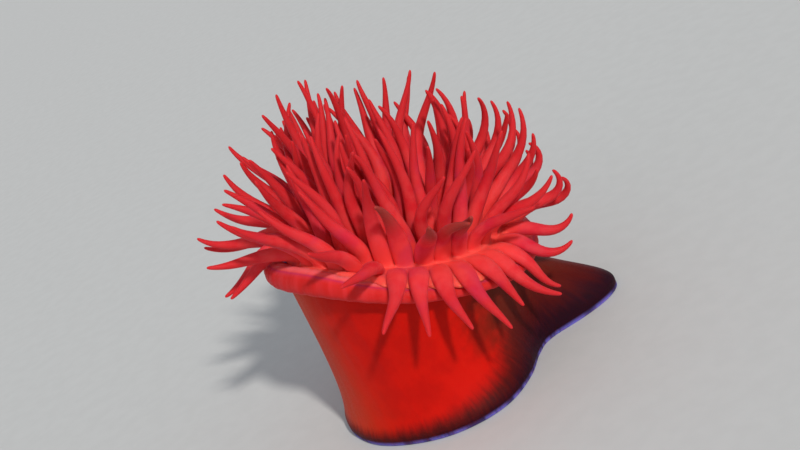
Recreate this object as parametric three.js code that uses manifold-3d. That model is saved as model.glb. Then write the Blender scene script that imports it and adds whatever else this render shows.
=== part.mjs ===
// Beadlet anemone, life size: a still model of one animal with its crown open.
// Millimetres, +Z up. The origin is the middle of the foot's flat underside.
// The crown leans towards +X, and the front of the animal faces -Y.

import * as THREE from 'three';
import { mergeVertices } from 'three/addons/utils/BufferGeometryUtils.js';
import Module from 'manifold-3d';

const wasm = await Module();
wasm.setup();

// ---------------------------------------------------------------- driving sizes

// A list of eight holds one value every 45 degrees, counted from +X towards +Y:
// right, back right, back, back left, left, front left, front, front right.
// A list of sixteen has one value more between each two.
const FOOT_REACH = [
  23.2, 20.9, 19.0, 18.4, 18.0, 18.4, 19.5, 21.2, 22.2, 21.6, 20.2, 19.0, 17.0, 13.6, 11.2, 12.6,
];
const FOOT_THICKNESS = 1.2;
const FOOT_BEVEL = 0.35;

const DISC_CENTRE = new THREE.Vector3(-2.1, 0, 24.2);
const DISC_TILT = THREE.MathUtils.degToRad(20.5);
const DISC_WARP = [-0.3, 0, 0, -0.6, -1.3, 0.1, -0.5, -1.0];
const DISC_WARP_RADIUS = 18;
const DISC_RADIUS = 5.7;

const GAP = 0.3;
// How far the tentacles are kept off the collar: their straight spans come nearer than this.
const COLLAR_GAP = 0.5;
const SKIRT_INSET = [1.2, 1.6, 2.0, 2.2, 2.2, 2.0, 1.6, 0.5];
const SKIRT_RISE = [4.5, 4.5, 5.0, 5.0, 5.0, 5.0, 5.0, 5.0];
const SKIRT_SHARE = 0.3;
const SHOULDER_RADIUS = [16.3, 16.0, 16.0, 15.4, 14.4, 15.0, 16.0, 16.3];
const SHOULDER_DROP = [4, 5, 7, 8, 8, 8, 8, 5];
const WALL_TOP_RADIUS = 17.0;
const WALL_TOP_HEIGHT = -3.6;
const CORE_RADIUS = 15.9;
const CORE_SHELF_HEIGHT = -3.2;

const COLLAR_RADIUS = 18.2;
const COLLAR_UNDERSIDE = -3.45;
const COLLAR_HALF_WIDTH = 1.7;
const COLLAR_HALF_TALL = [1.2, 1.55, 1.55, 1.55, 1.65, 1.8, 1.1, 0.85];
const COLLAR_ARCS = 6;
const COLLAR_SIDES = 7;
const BEADS_PER_ARC = 4;
const BEAD_SIZE = 0.5;
const BEAD_RADIUS = 17.2;
const BEAD_RISE_SHARE = 0.65;

const PLATE_TOP = -0.2;
const PLATE_UNDERSIDE = -1.5;

// The tentacle rings from the mouth outwards. Each sector of a ring is one solid.
const RINGS = [
  { name: 'inner', tentacles: 15, sectors: 5, radius: 7.1, length: 18.0, girth: 1.32 },
  { name: 'second', tentacles: 24, sectors: 6, radius: 9.2, length: 18.0, girth: 1.32 },
  { name: 'third', tentacles: 28, sectors: 7, radius: 11.4, length: 17.5, girth: 1.34 },
  { name: 'fourth', tentacles: 32, sectors: 8, radius: 13.6, length: 15.5, girth: 1.36 },
  { name: 'outer', tentacles: 36, sectors: 12, radius: 15.8, length: 14.0, girth: 1.38 },
];
// How many lengths a tentacle of each ring is faceted into.
const SPANS = [4, 4, 4, 5, 5];
const PLATE_EDGES = [6.0, 8.15, 10.3, 12.5, 14.7, 16.35];
const ROOT_RISE = 0.15;
const SQUARE_SHARE = 0.74;
const LEAST_HALF = 0.25;
const TAPER = 0.78;
const HOLLOW = 0.08;
const TIP_RADIUS = 0.26;
const ROOT_NARROWING = 0.25;
const ROOT_LENGTH = 0.25;

// How the tentacles lie, in degrees from the disc's own upright.
const INNER_LEAN = [22, 14, 8, 4, 8, 8, 8, 14];
const OUTER_LEAN = [92, 86, 68, 40, 28, 30, 46, 92, 124, 96, 44, 80, 116, 128, 126, 110];
// How late the lean grows from the inner rings to the outer: 1 is evenly.
const LEAN_DELAY = [1.8, 1.6, 1.6, 2.2, 4.2, 3.6, 3.4, 3.2];
const TIP_HOOK = [-130, -125, -100, -40, -8, -16, -30, -40, -20, -30, -46, -10, 24, 10, -20, -80];
const INNER_REACH = [1.10, 1.14, 1.14, 1.18, 1.04, 1.02, 1.00, 1.00];
const OUTER_REACH = [
  0.92, 0.94, 0.88, 0.96, 1.08, 1.14, 1.16, 1.08, 0.98, 0.99, 1.00, 1.00, 0.98, 0.92, 0.86, 0.74,
];
// How far the tentacles sweep round the disc, towards the next azimuth.
const SWEEP = [0, 0, 0, 0, 0, 0, 0, 0, 0, -0.3, -0.5, -0.25, 0.05, 0.1, 0, 0];
const CURRENT = -0.28;
const LEAN_SCATTER = 16;
const HOOK_SCATTER = 30;
const CURL_SCATTER = 0.50;
const WAVE_SCATTER = 0.72;
const LENGTH_SCATTER = 0.12;

// How neighbouring tentacles are eased apart until none touch.
const SAMPLES = 17;
const SPREAD_ROUNDS = 80;
const SPREAD_GAP = 0.36;
const SEARCH_EVERY = 20;
const SEARCH_MARGIN = 1.5;
const ROOT_FREEDOM = [0, 0.3, 0.7];

const MOUTH_HALF_LENGTH = 3.0;
const MOUTH_HALF_WIDTH = 2.1;
const MOUTH_RISE = 1.2;
const MOUTH_SLIT = { length: 3.2, width: 0.6, depth: 0.8 };
// How many flats go round the column and the disc, and round the foot and its skirt.
const AROUND = 36;
const FOOT_AROUND = 72;
const TURN = 2 * Math.PI;

// ---------------------------------------------------------------- finishes

function flesh(color) {
  return new THREE.MeshStandardMaterial({ color, roughness: 0.42, metalness: 0 });
}
const footFlesh = flesh(0x3a0a14);
const columnFlesh = flesh(0xb0200f);
const collarFlesh = flesh(0xd63a2e);
const tentacleFlesh = flesh(0xd8282e);
const discFlesh = flesh(0x9c1420);

// ---------------------------------------------------------------- values round the animal

function compass(values, azimuth) {
  const count = values.length;
  const place = (azimuth / TURN + 1) * count;
  const at = Math.floor(place);
  const f = place - at;
  const [a, b, c, d] = [-1, 0, 1, 2].map((k) => values[(at + k + count) % count]);
  return b + 0.5 * f * (c - a + f * (2 * a - 5 * b + 4 * c - d + f * (3 * (b - c) + d - a)));
}

// A fixed number between -1 and 1 for one trait of one tentacle.
function scatter(tentacle, trait) {
  const wave = Math.sin(tentacle * 12.9898 + trait * 78.233) * 43758.5453;
  return 2 * (wave - Math.floor(wave)) - 1;
}

// ---------------------------------------------------------------- the tilted, wavy disc

const discUp = new THREE.Vector3(Math.sin(DISC_TILT), 0, Math.cos(DISC_TILT));
const discRight = new THREE.Vector3(Math.cos(DISC_TILT), 0, -Math.sin(DISC_TILT));
const discBack = new THREE.Vector3(0, 1, 0);

function discWarp(radius, azimuth) {
  return compass(DISC_WARP, azimuth) * (radius / DISC_WARP_RADIUS) ** 2;
}

function onDisc(radius, azimuth, height) {
  return DISC_CENTRE.clone()
    .addScaledVector(discRight, radius * Math.cos(azimuth))
    .addScaledVector(discBack, radius * Math.sin(azimuth))
    .addScaledVector(discUp, height + discWarp(radius, azimuth));
}

function discPlace(point) {
  const offset = point.clone().sub(DISC_CENTRE);
  const x = offset.dot(discRight);
  const y = offset.dot(discBack);
  const radius = Math.hypot(x, y);
  const azimuth = Math.atan2(y, x);
  return { radius, azimuth, height: offset.dot(discUp) - discWarp(radius, azimuth) };
}

// ---------------------------------------------------------------- shaping and joining

// Moves every point of a plain closed geometry by a rule.
function reshape(geometry, rule) {
  geometry.deleteAttribute('normal');
  geometry.deleteAttribute('uv');
  const shell = mergeVertices(geometry);
  const position = shell.attributes.position;
  const point = new THREE.Vector3();
  for (let i = 0; i < position.count; i += 1) {
    const moved = rule(point.fromBufferAttribute(position, i));
    position.setXYZ(i, moved.x, moved.y, moved.z);
  }
  return shell;
}

function toManifold(shell) {
  return new wasm.Manifold(new wasm.Mesh({
    numProp: 3,
    vertProperties: shell.attributes.position.array,
    triVerts: Uint32Array.from(shell.index.array),
  }));
}

function toGeometry(manifold) {
  const { vertProperties, triVerts } = manifold.getMesh();
  const geometry = new THREE.BufferGeometry();
  geometry.setAttribute('position', new THREE.BufferAttribute(vertProperties, 3));
  geometry.setIndex(new THREE.BufferAttribute(triVerts, 1));
  return geometry;
}

function joined(shells) {
  return toGeometry(shells.map(toManifold).reduce((whole, next) => whole.add(next)));
}

function piece(name, shell, material) {
  const geometry = toGeometry(toManifold(shell));
  geometry.computeVertexNormals();
  const mesh = new THREE.Mesh(geometry, material);
  mesh.name = name;
  return mesh;
}

// A closed drum: rim(level, azimuth) gives its side at each level, and both ends are capped.
// It has as many flats as around says.
function drum(levels, rim, around = AROUND) {
  const profile = levels.map((level) => new THREE.Vector2(1, level));
  profile.unshift(new THREE.Vector2(0, levels[0]));
  profile.push(new THREE.Vector2(0, levels[levels.length - 1]));
  return reshape(new THREE.LatheGeometry(profile, around), (p) => {
    const onAxis = Math.hypot(p.x, p.z) < 0.5;
    return onAxis ? capCentre(rim, p.y) : rim(p.y, Math.atan2(p.x, p.z));
  });
}

function capCentre(rim, level) {
  const centre = new THREE.Vector3();
  for (let quarter = 0; quarter < 4; quarter += 1) {
    centre.addScaledVector(rim(level, (quarter * TURN) / 4), 0.25);
  }
  return centre;
}

// ---------------------------------------------------------------- foot, skirt and column

function footRim(azimuth, inset, height) {
  const reach = compass(FOOT_REACH, azimuth) - inset;
  return new THREE.Vector3(reach * Math.cos(azimuth), reach * Math.sin(azimuth), height);
}

// The line up the body wall, from above the foot's rim to the underside of the collar.
function wallCurve(azimuth) {
  const bottom = footRim(azimuth, 0, FOOT_THICKNESS + GAP);
  const flare = footRim(azimuth, compass(SKIRT_INSET, azimuth), compass(SKIRT_RISE, azimuth));
  const shoulderHeight = WALL_TOP_HEIGHT - compass(SHOULDER_DROP, azimuth);
  const shoulder = onDisc(compass(SHOULDER_RADIUS, azimuth), azimuth, shoulderHeight);
  const top = onDisc(WALL_TOP_RADIUS, azimuth, WALL_TOP_HEIGHT);
  return new THREE.CubicBezierCurve3(bottom, flare, shoulder, top);
}

function makeFoot() {
  const rims = [
    { inset: FOOT_BEVEL, height: 0 },
    { inset: 0, height: FOOT_BEVEL },
    { inset: 0, height: FOOT_THICKNESS },
  ];
  const foot = drum([0, 1, 2], (level, azimuth) => {
    const { inset, height } = rims[level];
    return footRim(azimuth, inset, height);
  }, FOOT_AROUND);
  return piece('foot', foot, footFlesh);
}

function makeSkirt() {
  const levels = [0, SKIRT_SHARE / 2, SKIRT_SHARE];
  const rim = (level, azimuth) => wallCurve(azimuth).getPoint(level);
  const skirt = drum(levels, rim, FOOT_AROUND);
  return piece('skirt', skirt, columnFlesh);
}

// The column starts a gap above the skirt and ends in a core under the disc.
function makeColumn() {
  const wall = [SKIRT_SHARE, 0.45, 0.62, 0.8, 1];
  const core = [
    { radius: CORE_RADIUS, height: CORE_SHELF_HEIGHT },
    { radius: CORE_RADIUS, height: PLATE_UNDERSIDE - GAP },
  ];
  const levels = [...wall.keys(), wall.length, wall.length + 1];
  const column = drum(levels, (level, azimuth) => {
    if (level >= wall.length) {
      const { radius, height } = core[level - wall.length];
      return onDisc(radius, azimuth, height);
    }
    const point = wallCurve(azimuth).getPoint(wall[level]);
    point.z += level === 0 ? GAP : 0;
    return point;
  });
  return piece('column', column, columnFlesh);
}

// ---------------------------------------------------------------- collar with its beads

// A height over the disc inside the collar: its share is 1 at the top and -1 underneath.
function collarHeight(azimuth, share) {
  return COLLAR_UNDERSIDE + compass(COLLAR_HALF_TALL, azimuth) * (1 + share);
}

function makeCollarArc(arc) {
  const sweep = TURN / COLLAR_ARCS;
  const middle = arc * sweep;
  const clear = GAP / COLLAR_RADIUS;
  const rod = new THREE.CylinderGeometry(1, 1, 1, COLLAR_SIDES, BEADS_PER_ARC);
  const roll = reshape(rod, (p) => {
    const azimuth = middle + (sweep - clear) * p.y;
    const radius = COLLAR_RADIUS + COLLAR_HALF_WIDTH * p.x;
    return onDisc(radius, azimuth, collarHeight(azimuth, p.z));
  });
  const beads = Array.from({ length: BEADS_PER_ARC }, (_, k) => {
    const azimuth = middle + sweep * ((k + 0.5) / BEADS_PER_ARC - 0.5);
    const place = onDisc(BEAD_RADIUS, azimuth, collarHeight(azimuth, BEAD_RISE_SHARE));
    return reshape(new THREE.OctahedronGeometry(BEAD_SIZE), (p) => p.clone().add(place));
  });
  return piece(`collar_${arc + 1}`, joined([roll, ...beads]), collarFlesh);
}

// ---------------------------------------------------------------- oral disc and mouth

function makeOralDisc() {
  const disc = drum([PLATE_UNDERSIDE, PLATE_TOP], (height, azimuth) => (
    onDisc(DISC_RADIUS, azimuth, height)
  ));
  return piece('oral_disc', disc, discFlesh);
}

function makeMouth() {
  const base = PLATE_TOP + GAP;
  const profile = [[0, 0], [1, 0], [0.97, 0.3], [0.75, 0.85], [0.4, 1], [0, 1]]
    .map(([share, rise]) => new THREE.Vector2(share, rise));
  const lips = reshape(new THREE.LatheGeometry(profile, 12), (p) => (
    new THREE.Vector3(MOUTH_HALF_LENGTH * p.z, MOUTH_HALF_WIDTH * p.x, base + MOUTH_RISE * p.y)
  ));
  const { length, width, depth } = MOUTH_SLIT;
  const slitShape = new THREE.BoxGeometry(length, width, 2 * depth);
  const slit = reshape(slitShape, (p) => p.clone().setZ(p.z + base + MOUTH_RISE));
  const cut = toGeometry(toManifold(lips).subtract(toManifold(slit)));
  const placed = reshape(cut, (p) => onDisc(Math.hypot(p.x, p.y), Math.atan2(p.y, p.x), p.z));
  return piece('mouth', placed, discFlesh);
}

// ---------------------------------------------------------------- how the tentacles lie

function girthAt(share, girth) {
  const slim = (1 - share) ** TAPER * (1 - HOLLOW * Math.sin(Math.PI * share));
  const root = 1 - ROOT_NARROWING * (1 - THREE.MathUtils.smoothstep(share, 0, ROOT_LENGTH));
  return (TIP_RADIUS + (girth - TIP_RADIUS) * slim) * root;
}

// A value that goes from an inner list to an outer one.
function between(inner, outer, azimuth, outerShare) {
  return THREE.MathUtils.lerp(compass(inner, azimuth), compass(outer, azimuth), outerShare);
}

// One tentacle as a row of points, leaning outwards, hooked at the tip and swayed sideways.
function growTentacle(ringIndex, azimuth, serial) {
  const ring = RINGS[ringIndex];
  const outerShare = (ringIndex / (RINGS.length - 1)) ** compass(LEAN_DELAY, azimuth);
  const lean = between(INNER_LEAN, OUTER_LEAN, azimuth, outerShare)
    + LEAN_SCATTER * scatter(serial, 1);
  const rootShare = 0.35 + 0.45 * THREE.MathUtils.smoothstep(lean, 60, 115);
  const hook = compass(TIP_HOOK, azimuth) * (0.3 + 0.7 * outerShare)
    + HOOK_SCATTER * scatter(serial, 2);
  const curl = compass(SWEEP, azimuth) * outerShare + CURL_SCATTER * scatter(serial, 3);
  const wave = WAVE_SCATTER * scatter(serial, 5);
  const reach = between(INNER_REACH, OUTER_REACH, azimuth, outerShare);
  const length = ring.length * reach * (1 + LENGTH_SCATTER * scatter(serial, 4));
  const outwards = discRight.clone().multiplyScalar(Math.cos(azimuth))
    .addScaledVector(discBack, Math.sin(azimuth));
  const sideways = discRight.clone().multiplyScalar(-Math.sin(azimuth))
    .addScaledVector(discBack, Math.cos(azimuth));

  const steps = SAMPLES - 1;
  const points = [onDisc(ring.radius, azimuth, 0)];
  for (let k = 0; k < steps; k += 1) {
    const t = (k + 0.5) / steps;
    const bend = lean * (rootShare + (1 - rootShare) * Math.min(1, t / 0.5))
      + hook * Math.max(0, (t - 0.45) / 0.55) ** 1.4;
    const angle = THREE.MathUtils.degToRad(bend);
    const heading = discUp.clone().multiplyScalar(Math.cos(angle))
      .addScaledVector(outwards, Math.sin(angle))
      .addScaledVector(sideways, curl * t + 0.5 * wave * Math.sin(TURN * t))
      .addScaledVector(discRight, CURRENT * (0.3 + 0.7 * t))
      .setLength(length / steps);
    points.push(points[k].clone().add(heading));
  }
  const girths = points.map((_, k) => girthAt(k / steps, ring.girth));
  return { ringIndex, azimuth, length, points, girths };
}

function growCrown() {
  const crown = [];
  RINGS.forEach((ring, ringIndex) => {
    const turn = ringIndex % 2 ? 0.5 : 0;
    for (let k = 0; k < ring.tentacles; k += 1) {
      const azimuth = ((k + turn) * TURN) / ring.tentacles;
      crown.push(growTentacle(ringIndex, azimuth, crown.length + 1));
    }
  });
  return crown;
}

// ---------------------------------------------------------------- easing them apart

function freedom(k) {
  return k < ROOT_FREEDOM.length ? ROOT_FREEDOM[k] : 1;
}

function nearPairs(balls) {
  const pairs = [];
  for (let i = 0; i < balls.length; i += 1) {
    for (let j = i + 1; j < balls.length; j += 1) {
      const reach = balls[i].girth + balls[j].girth + SPREAD_GAP + SEARCH_MARGIN;
      const apart = balls[i].owner !== balls[j].owner;
      if (apart && balls[i].point.distanceToSquared(balls[j].point) < reach * reach) {
        pairs.push([balls[i], balls[j]]);
      }
    }
  }
  return pairs;
}

function pushApart(balls, pairs) {
  balls.forEach((ball) => {
    ball.push.set(0, 0, 0);
    ball.hits = 0;
  });
  const away = new THREE.Vector3();
  pairs.forEach(([a, b]) => {
    away.subVectors(a.point, b.point);
    const distance = away.length();
    const overlap = a.girth + b.girth + SPREAD_GAP - distance;
    if (overlap > 0) {
      away.multiplyScalar((0.5 * overlap) / distance);
      a.push.add(away);
      b.push.sub(away);
      a.hits += 1;
      b.hits += 1;
    }
  });
  balls.forEach((ball) => {
    ball.point.addScaledVector(ball.push, ball.freedom / Math.sqrt(Math.max(ball.hits, 1)));
  });
}

function keepOffCollar(ball) {
  const { radius, azimuth, height } = discPlace(ball.point);
  const squash = compass(COLLAR_HALF_TALL, azimuth) / COLLAR_HALF_WIDTH;
  const across = radius - COLLAR_RADIUS;
  const above = (height - collarHeight(azimuth, 0)) / squash;
  const distance = Math.hypot(across, above);
  const overlap = COLLAR_HALF_WIDTH + ball.girth + COLLAR_GAP - distance;
  if (overlap > 0) {
    const move = (ball.freedom * overlap) / distance;
    ball.point.copy(onDisc(radius + move * across, azimuth, height + move * above * squash));
  }
}

// Smooths what the pushes did to one tentacle, then gives its steps their length back.
function settle(tentacle, start, step) {
  const { points } = tentacle;
  const shifts = points.map((point, k) => point.clone().sub(start[k]));
  for (let k = 2; k < SAMPLES - 1; k += 1) {
    const mean = shifts[k - 1].clone().add(shifts[k + 1]).multiplyScalar(0.5);
    points[k].copy(start[k]).add(shifts[k].clone().lerp(mean, 0.5));
  }
  for (let k = 2; k < SAMPLES; k += 1) {
    const heading = points[k].clone().sub(points[k - 1]).setLength(step);
    points[k].addVectors(points[k - 1], heading);
  }
}

function spreadCrown(crown) {
  const starts = crown.map(({ points }) => points.map((point) => point.clone()));
  const balls = crown.flatMap((tentacle) => tentacle.points.map((point, k) => ({
    owner: tentacle,
    point,
    girth: tentacle.girths[k],
    freedom: freedom(k),
    push: new THREE.Vector3(),
    hits: 0,
  })));
  let pairs = [];
  for (let round = 0; round < SPREAD_ROUNDS; round += 1) {
    if (round % SEARCH_EVERY === 0) {
      pairs = nearPairs(balls);
    }
    pushApart(balls, pairs);
    balls.forEach(keepOffCollar);
    crown.forEach((tentacle, i) => settle(tentacle, starts[i], tentacle.length / (SAMPLES - 1)));
  }
}

// ---------------------------------------------------------------- tentacle solids

// Half the width of the square section of a tentacle.
function sectionHalf(girth) {
  return Math.max(girth * SQUARE_SHARE, LEAST_HALF);
}

// The square sections along a tentacle, above the cell of disc that it grows from. The first
// faces the middle of the first bend, and stands high enough for all of it to clear the cell.
function tentacleSections({ points, girths, ringIndex }) {
  const spans = SPANS[ringIndex];
  const rest = Array.from({ length: spans }, (_, k) => {
    const at = Math.round(((k + 1) * (SAMPLES - 1)) / spans);
    const after = points[Math.min(at + 1, SAMPLES - 1)];
    const heading = after.clone().sub(points[at - 1]).normalize();
    return { centre: points[at], heading, half: sectionHalf(girths[at]) };
  });
  const heading = discUp.clone().add(rest[0].heading).normalize();
  const half = sectionHalf(girths[0]);
  const rise = ROOT_RISE + half * Math.sin(heading.angleTo(discUp));
  const centre = points[0].clone().addScaledVector(discUp, rise);
  return [{ centre, heading, half }, ...rest];
}

// A closed bar: two levels for the cell of disc, then the sections out to the tip. Each section
// is turned from the one before by the smallest turn, so that the bar never twists.
function tentacleShell(tentacle, cell) {
  const sections = tentacleSections(tentacle);
  const levels = sections.length + 1;
  const { azimuth } = tentacle;
  const radial = discRight.clone().multiplyScalar(Math.cos(azimuth))
    .addScaledVector(discBack, Math.sin(azimuth));
  const smallestTurn = new THREE.Quaternion();
  let before = discUp;
  const frames = sections.map(({ centre, heading, half }) => {
    radial.applyQuaternion(smallestTurn.setFromUnitVectors(before, heading));
    before = heading;
    return { centre, radial: radial.clone(), across: heading.clone().cross(radial), half };
  });
  return reshape(new THREE.BoxGeometry(1, 1, 1, 1, 1, levels), (p) => {
    const level = Math.round((p.z + 0.5) * levels);
    if (level < 2) {
      const radius = p.x < 0 ? cell.inner : cell.outer;
      const height = level === 0 ? PLATE_UNDERSIDE : PLATE_TOP;
      return onDisc(radius, p.y < 0 ? cell.start : cell.end, height);
    }
    const { centre, radial: out, across, half } = frames[level - 2];
    return centre.clone()
      .addScaledVector(out, 2 * half * p.x)
      .addScaledVector(across, 2 * half * p.y);
  });
}

function makeSectors(crown, ringIndex) {
  const { name, tentacles, sectors, radius } = RINGS[ringIndex];
  const inRing = crown.filter((tentacle) => tentacle.ringIndex === ringIndex);
  const each = tentacles / sectors;
  const step = TURN / tentacles;
  const clear = GAP / 2 / radius;
  const inner = PLATE_EDGES[ringIndex] + GAP / 2;
  const outer = PLATE_EDGES[ringIndex + 1] - GAP / 2;
  return Array.from({ length: sectors }, (_, sector) => {
    const members = inRing.slice(sector * each, (sector + 1) * each);
    const first = members[0].azimuth - step / 2;
    const edges = Array.from({ length: each + 1 }, (_unused, k) => first + k * step);
    edges[0] += clear;
    edges[each] -= clear;
    const shells = members.map((tentacle, k) => (
      tentacleShell(tentacle, { inner, outer, start: edges[k], end: edges[k + 1] })
    ));
    return piece(`tentacles_${name}_${sector + 1}`, joined(shells), tentacleFlesh);
  });
}

// ---------------------------------------------------------------- the whole animal

const crown = growCrown();
spreadCrown(crown);

const anemone = new THREE.Group();
anemone.add(makeFoot(), makeSkirt(), makeColumn());
for (let arc = 0; arc < COLLAR_ARCS; arc += 1) {
  anemone.add(makeCollarArc(arc));
}
anemone.add(makeOralDisc(), makeMouth());
RINGS.forEach((_, ringIndex) => {
  anemone.add(...makeSectors(crown, ringIndex));
});

export default anemone;
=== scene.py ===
"""A life-size beadlet anemone with its crown open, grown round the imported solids.

Sizes are worked out in millimetres and turned into metres where a mesh is made.
The foot's middle is the origin, +Z is up, the crown leans towards +X and -Y is the front.
"""

import math

import bmesh
import bpy
import numpy as np
from bpy.props import FloatProperty, FloatVectorProperty, IntProperty, PointerProperty
from mathutils import Matrix, Vector


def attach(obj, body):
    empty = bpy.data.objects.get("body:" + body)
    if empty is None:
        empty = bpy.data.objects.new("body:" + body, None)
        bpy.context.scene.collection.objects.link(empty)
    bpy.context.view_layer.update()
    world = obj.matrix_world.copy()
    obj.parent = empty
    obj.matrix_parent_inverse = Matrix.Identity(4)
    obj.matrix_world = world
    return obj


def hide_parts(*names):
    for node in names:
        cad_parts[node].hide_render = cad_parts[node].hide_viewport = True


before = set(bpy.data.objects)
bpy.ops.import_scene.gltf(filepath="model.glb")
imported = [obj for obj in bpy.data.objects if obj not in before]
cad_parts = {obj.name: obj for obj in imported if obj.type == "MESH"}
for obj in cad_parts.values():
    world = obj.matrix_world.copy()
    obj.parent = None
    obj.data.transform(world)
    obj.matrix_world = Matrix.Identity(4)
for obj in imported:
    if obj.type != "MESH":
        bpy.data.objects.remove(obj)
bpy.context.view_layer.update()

bl_info = {
    "name": "Beadlet Anemone",
    "version": (1, 0, 0),
    "blender": (4, 5, 0),
    "location": "3D View > Sidebar > Anemone",
    "description": "Grows a beadlet anemone's skin, its beads and a small studio",
    "category": "Add Mesh",
}

MM = 0.001
TURN = 2 * math.pi


# ---- the animal's plan

# A list of eight holds one value every 45 degrees, counted from +X towards +Y:
# right, back right, back, back left, left, front left, front, front right.
# A list of sixteen has one value more between each two. Lengths are in mm, angles in degrees.
FOOT_REACH = [
    23.2, 20.9, 19.0, 18.4, 18.0, 18.4, 19.5, 21.2, 22.2, 21.6, 20.2, 19.0, 17.0, 13.6, 11.2, 12.6
]
WALL_START = 1.5

DISC_CENTRE = np.array([-2.1, 0.0, 24.2])
DISC_TILT = math.radians(20.5)
DISC_WARP = [-0.3, 0, 0, -0.6, -1.3, 0.1, -0.5, -1.0]
DISC_WARP_RADIUS = 18.0
DISC_UP = np.array([math.sin(DISC_TILT), 0.0, math.cos(DISC_TILT)])
DISC_RIGHT = np.array([math.cos(DISC_TILT), 0.0, -math.sin(DISC_TILT)])
DISC_BACK = np.array([0.0, 1.0, 0.0])

SKIRT_INSET = [1.2, 1.6, 2.0, 2.2, 2.2, 2.0, 1.6, 0.5]
SKIRT_RISE = [4.5, 4.5, 5.0, 5.0, 5.0, 5.0, 5.0, 5.0]
SHOULDER_RADIUS = [16.3, 16.0, 16.0, 15.4, 14.4, 15.0, 16.0, 16.3]
SHOULDER_DROP = [4, 5, 7, 8, 8, 8, 8, 5]
WALL_TOP_RADIUS = 17.0
WALL_TOP_HEIGHT = -3.6

COLLAR_RADIUS = 18.2
COLLAR_UNDERSIDE = -3.45
COLLAR_HALF_WIDTH = 1.7
COLLAR_HALF_TALL = [1.2, 1.55, 1.55, 1.55, 1.65, 1.8, 1.1, 0.85]
COLLAR_GAP = 0.5

# The tentacle rings from the mouth outwards: how many, and their radius, length and girth.
RINGS = [
    dict(name="inner", tentacles=15, radius=7.1, length=18.0, girth=1.32),
    dict(name="second", tentacles=24, radius=9.2, length=18.0, girth=1.32),
    dict(name="third", tentacles=28, radius=11.4, length=17.5, girth=1.34),
    dict(name="fourth", tentacles=32, radius=13.6, length=15.5, girth=1.36),
    dict(name="outer", tentacles=36, radius=15.8, length=14.0, girth=1.38),
]
INNER_LEAN = [22, 14, 8, 4, 8, 8, 8, 14]
OUTER_LEAN = [92, 86, 68, 40, 28, 30, 46, 92, 124, 96, 44, 80, 116, 128, 126, 110]
# How late the lean grows from the inner rings to the outer: 1 is evenly.
LEAN_DELAY = [1.8, 1.6, 1.6, 2.2, 4.2, 3.6, 3.4, 3.2]
TIP_HOOK = [-130, -125, -100, -40, -8, -16, -30, -40, -20, -30, -46, -10, 24, 10, -20, -80]
INNER_REACH = [1.10, 1.14, 1.14, 1.18, 1.04, 1.02, 1.00, 1.00]
OUTER_REACH = [
    0.92, 0.94, 0.88, 0.96, 1.08, 1.14, 1.16, 1.08, 0.98, 0.99, 1.00, 1.00, 0.98, 0.92, 0.86, 0.74
]
# How far the tentacles sweep round the disc, towards the next azimuth.
SWEEP = [0, 0, 0, 0, 0, 0, 0, 0, 0, -0.3, -0.5, -0.25, 0.05, 0.1, 0, 0]
# How hard the water bends the crown to the right, and the share of that at the roots.
CURRENT = -0.28
CURRENT_AT_ROOT = 0.3
# The share of its lean that a tentacle has at the root, and how much is added between the two
# far leans. The lean is whole at LEAN_WHOLE of the length.
ROOT_LEAN = 0.35
ROOT_LEAN_ADDED = 0.45
FAR_LEAN = (60, 115)
LEAN_WHOLE = 0.5
# The hook sets in at HOOK_START of the length. The inner ring has a share of it.
HOOK_START = 0.45
HOOK_GROWTH = 1.4
INNER_HOOK = 0.3
LEAN_SCATTER = 16
HOOK_SCATTER = 30
CURL_SCATTER = 0.5
WAVE_SCATTER = 0.36
LENGTH_SCATTER = 0.12
TAPER = 0.78
HOLLOW = 0.08
TIP_RADIUS = 0.26
ROOT_NARROWING = 0.25
ROOT_LENGTH = 0.25

SAMPLES = 17
SPREAD_ROUNDS = 80
SPREAD_GAP = 0.36
SEARCH_EVERY = 20
SEARCH_MARGIN = 1.5
ROOT_FREEDOM = [0.0, 0.3, 0.7]
EASING = 0.5

# The number that sets each scattered trait apart from the others.
SCATTERED = dict(
    lean=1, hook=2, curl=3, length=4, wave=5, tint=7, lobe=9, bead_place=11, bead_size=12,
    bead_rise=13,
)


def mix(low, high, share):
    return low + (high - low) * share


def spline(a, b, c, d, f):
    """A Catmull-Rom curve from b at 0 to c at 1."""
    return b + 0.5 * f * (c - a + f * (2 * a - 5 * b + 4 * c - d + f * (3 * (b - c) + d - a)))


def compass(values, azimuth):
    """A smooth value at any azimuth from a list that runs round the animal."""
    table = np.asarray(values, float)
    count = len(table)
    place = (np.asarray(azimuth, float) / TURN * count) % count
    at = np.floor(place).astype(int)
    return spline(*(table[(at + k) % count] for k in (-1, 0, 1, 2)), place - at)


def spaced(count):
    """Azimuths evenly round the animal."""
    return np.arange(count) * TURN / count


def scatter(number, trait):
    """A fixed value between -1 and 1 for one trait of one tentacle, lobe or bead."""
    wave = math.sin(number * 12.9898 + SCATTERED[trait] * 78.233) * 43758.5453
    return 2 * (wave - math.floor(wave)) - 1


def smoothstep(low, high, value):
    share = np.clip((np.asarray(value, float) - low) / (high - low), 0, 1)
    return share * share * (3 - 2 * share)


def disc_warp(radius, azimuth):
    return compass(DISC_WARP, azimuth) * (radius / DISC_WARP_RADIUS) ** 2


def on_disc(radius, azimuth, height):
    """Points at a radius, azimuth and height over the tilted, gently wavy disc."""
    radius, azimuth, height = np.broadcast_arrays(radius, azimuth, height)
    rise = height + disc_warp(radius, azimuth)
    return (
        DISC_CENTRE
        + (radius * np.cos(azimuth))[..., None] * DISC_RIGHT
        + (radius * np.sin(azimuth))[..., None] * DISC_BACK
        + rise[..., None] * DISC_UP
    )


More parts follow.
